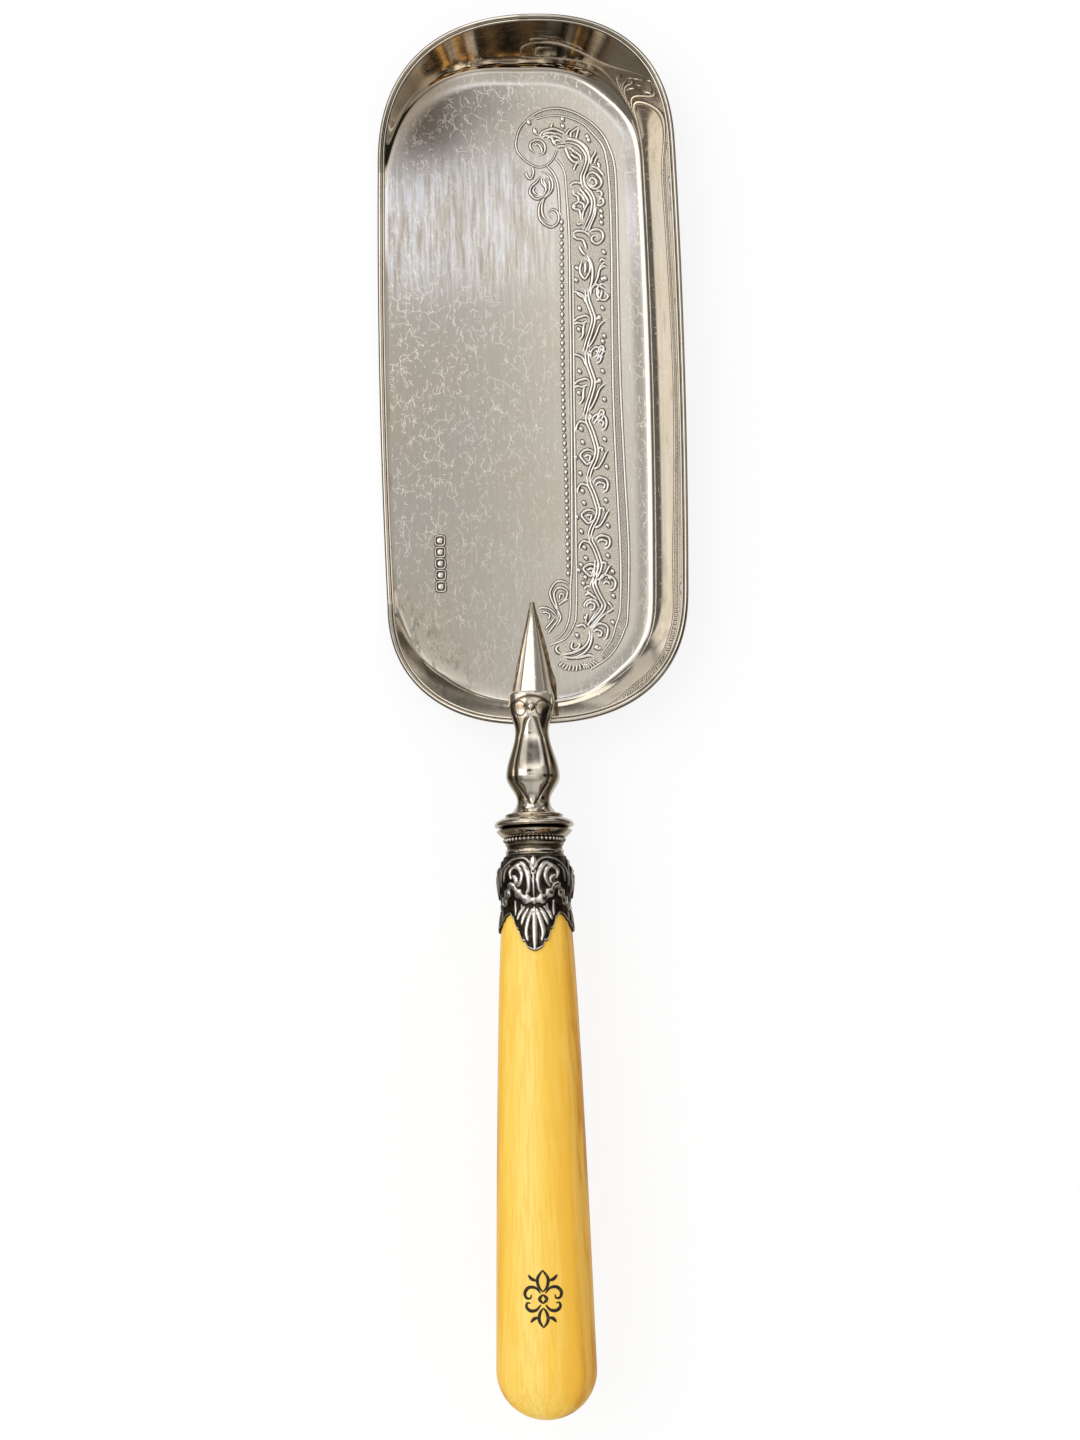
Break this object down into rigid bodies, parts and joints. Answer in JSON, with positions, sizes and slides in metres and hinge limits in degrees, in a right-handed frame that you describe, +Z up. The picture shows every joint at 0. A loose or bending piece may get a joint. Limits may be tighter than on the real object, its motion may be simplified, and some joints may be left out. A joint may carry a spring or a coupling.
{
  "type": "crumb catcher",
  "caption": "Long flat-bottomed silver pan with one open lip and a raised rim, for sweeping up table crumbs, on a slim ivory-coloured handle with a leaf ferrule.",
  "frame": {"origin": "under the middle of the whole length, on the surface the pan rests on", "axes": "+Y from the handle to the pan's far end, +Z up, +X to the high side wall; the open lip is on -X"},
  "size_m": [0.0726, 0.3222, 0.0343],
  "materials": {
    "satin_silver": "satin, finely scratched silver",
    "bright_silver": "polished silver",
    "dark_silver": "struck silver with dark hollows",
    "ivory_colour": "polished, finely grained yellow ivory colour",
    "tang_steel": "plain forged steel",
    "cement": "dull brown cutler's cement"
  },
  "bodies": {
    "root": {"pan": "satin_silver", "gallery_rim_wire": "bright_silver", "lip_wire": "bright_silver", "spur": "bright_silver", "shank": "bright_silver", "collar": "bright_silver", "ferrule_cap": "dark_silver", "bead_ring": "bright_silver", "ferrule_shell": "dark_silver", "handle": "ivory_colour", "tang": "tang_steel", "cement_fill": "cement"}
  },
  "joints": []
}
